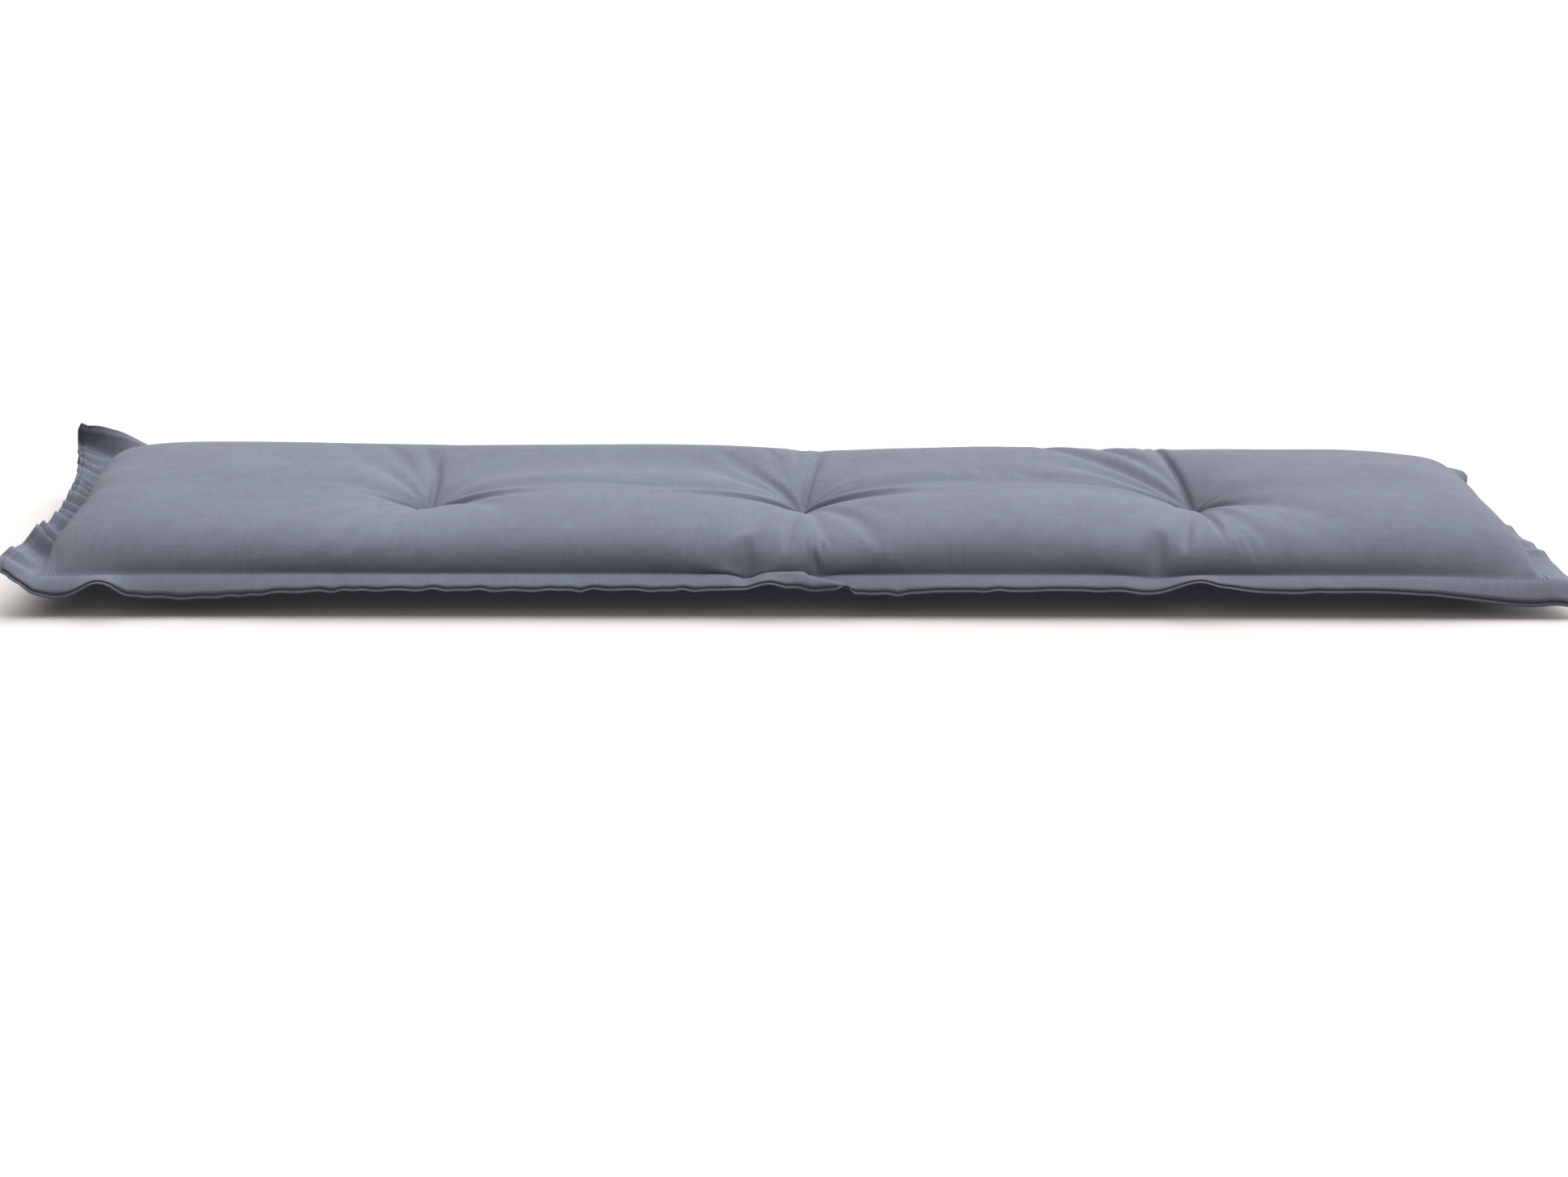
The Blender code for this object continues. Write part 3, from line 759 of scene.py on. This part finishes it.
TWINE_COLOUR = (0.100, 0.112, 0.140, 1)
TWINE_PALE = (0.180, 0.195, 0.230, 1)
twine, twine_shader, tone = new_finish("tuft_twine", Sheen_Weight=0.15, Specular_IOR_Level=0.4)
place = tone.node("ShaderNodeTexCoord", {}, {}, "Object")
fibres = noise(tone, place, (700, 700, 260), 3.0)
colour = tone.node("ShaderNodeMix", {"data_type": "RGBA"}, {0: fibres, 6: TWINE_COLOUR, 7: TWINE_PALE}, 2)
tone.tree.links.new(colour.socket, twine_shader.inputs["Base Color"])
tone.tree.links.new((0.5 + fibres * 0.3).socket, twine_shader.inputs["Roughness"])
bump = tone.node("ShaderNodeBump", {}, {"Strength": 0.5, "Distance": 0.0002, "Height": fibres})
tone.tree.links.new(bump.socket, twine_shader.inputs["Normal"])

for tuft in TUFTS:
    low, high = (np.array(corner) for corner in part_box(f"tuft_tie_{tuft.name}"))
    centre = (low + high) / 2
    half_wide = (high[0] - low[0]) / 2 - TWINE / 2
    half_high = (high[2] - low[2]) / 2 - TWINE / 2
    turn = np.arange(ROUTE_POINTS) / ROUTE_POINTS * 2 * np.pi
    cos, sin = np.cos(turn), np.sin(turn)
    squared = (np.abs(cos) ** ROUTE_SQUARENESS + np.abs(sin) ** ROUTE_SQUARENESS) ** (-1 / ROUTE_SQUARENESS)
    route = centre + np.stack([half_wide * cos * squared, 0 * cos, half_high * sin * squared], axis=1)
    ahead = np.roll(route, -1, axis=0) - np.roll(route, 1, axis=0)
    ahead /= np.linalg.norm(ahead, axis=1)[:, None]
    sideways = np.tile([0.0, 1.0, 0.0], (ROUTE_POINTS, 1))
    outward = np.cross(sideways, ahead)
    run = np.concatenate([[0], np.cumsum(np.linalg.norm(np.roll(route, -1, axis=0) - route, axis=1))])
    twists = round(run[-1] / TWIST_LENGTH)
    points = []
    faces = []
    for ply in range(PLIES):
        phase = 2 * np.pi * (run[:-1] / run[-1] * twists + ply / PLIES)
        offset = sideways * np.cos(phase)[:, None] + outward * np.sin(phase)[:, None]
        core = route + offset * PLY_OFFSET
        start = len(points)
        for i in range(ROUTE_POINTS):
            for side in range(PLY_SIDES):
                angle = 2 * math.pi * side / PLY_SIDES
                spoke = sideways[i] * math.cos(angle) + outward[i] * math.sin(angle)
                points.append(tuple(core[i] + spoke * PLY_RADIUS))
        for i in range(ROUTE_POINTS):
            after = (i + 1) % ROUTE_POINTS
            for side in range(PLY_SIDES):
                beside = (side + 1) % PLY_SIDES
                here, there = start + i * PLY_SIDES, start + after * PLY_SIDES
                faces.append((here + side, there + side, there + beside, here + beside))
    tie_mesh = bpy.data.meshes.new(f"twine_{tuft.name}")
    tie_mesh.from_pydata(points, [], faces)
    tie_mesh.shade_smooth()
    tie_mesh.materials.append(twine)
    tie = bpy.data.objects.new(f"twine_{tuft.name}", tie_mesh)
    bpy.context.scene.collection.objects.link(tie)
    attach(tie, "root")
    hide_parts(f"tuft_tie_{tuft.name}")

# ---------------------------------------------------------------- floor, light and camera
# A plain pale floor, one very wide soft light high above, a weak warm one from low in front, which reaches
# under the flange, and a little light from all round.
FLOOR_HALF_SIZE = 40
corners = [(-1, -1, 0), (1, -1, 0), (1, 1, 0), (-1, 1, 0)]
floor_points = [tuple(FLOOR_HALF_SIZE * c for c in corner) for corner in corners]
floor_mesh = bpy.data.meshes.new("floor")
floor_mesh.from_pydata(floor_points, [], [(0, 1, 2, 3)])
floor = bpy.data.objects.new("floor", floor_mesh)
bpy.context.scene.collection.objects.link(floor)
pale, pale_shader, tone = new_finish("pale_floor", Roughness=1.0, Specular_IOR_Level=0.0)
pale_shader.inputs["Emission Color"].default_value = (0.004, 0.003, 0.002, 1)
pale_shader.inputs["Emission Strength"].default_value = 1.0
pale_shader.inputs["Base Color"].default_value = (0.79, 0.76, 0.74, 1)
floor_mesh.materials.append(pale)
floor.visible_diffuse = False

overhead = bpy.data.lights.new("overhead", "SUN")
overhead.energy = 5.3
overhead.angle = math.radians(102)
overhead_lamp = bpy.data.objects.new("overhead", overhead)
overhead_lamp.rotation_euler = (math.radians(-34), math.radians(23), 0)
bpy.context.scene.collection.objects.link(overhead_lamp)

low_front = bpy.data.lights.new("low_front", "SUN")
low_front.energy = 0.42
low_front.angle = math.radians(60)
low_front.color = (1.0, 0.90, 0.80)
low_front_lamp = bpy.data.objects.new("low_front", low_front)
low_front_lamp.rotation_euler = (math.radians(54), 0, 0)
bpy.context.scene.collection.objects.link(low_front_lamp)

world = bpy.data.worlds.new("studio")
bpy.context.scene.world = world
world.use_nodes = True
world.node_tree.nodes["Background"].inputs["Color"].default_value = (1, 1, 1, 1)
world.node_tree.nodes["Background"].inputs["Strength"].default_value = 0.105
bpy.context.scene.view_settings.view_transform = "Standard"

camera_data = bpy.data.cameras.new("camera")
camera_data.sensor_width = 36
camera_data.lens = 78.2
camera = bpy.data.objects.new("camera", camera_data)
bpy.context.scene.collection.objects.link(camera)
camera.location = (-0.130, -3.359, 0.927)
camera.rotation_euler = (math.radians(90 - 16.05), math.radians(-0.64), math.radians(-1.85))
bpy.context.scene.camera = camera
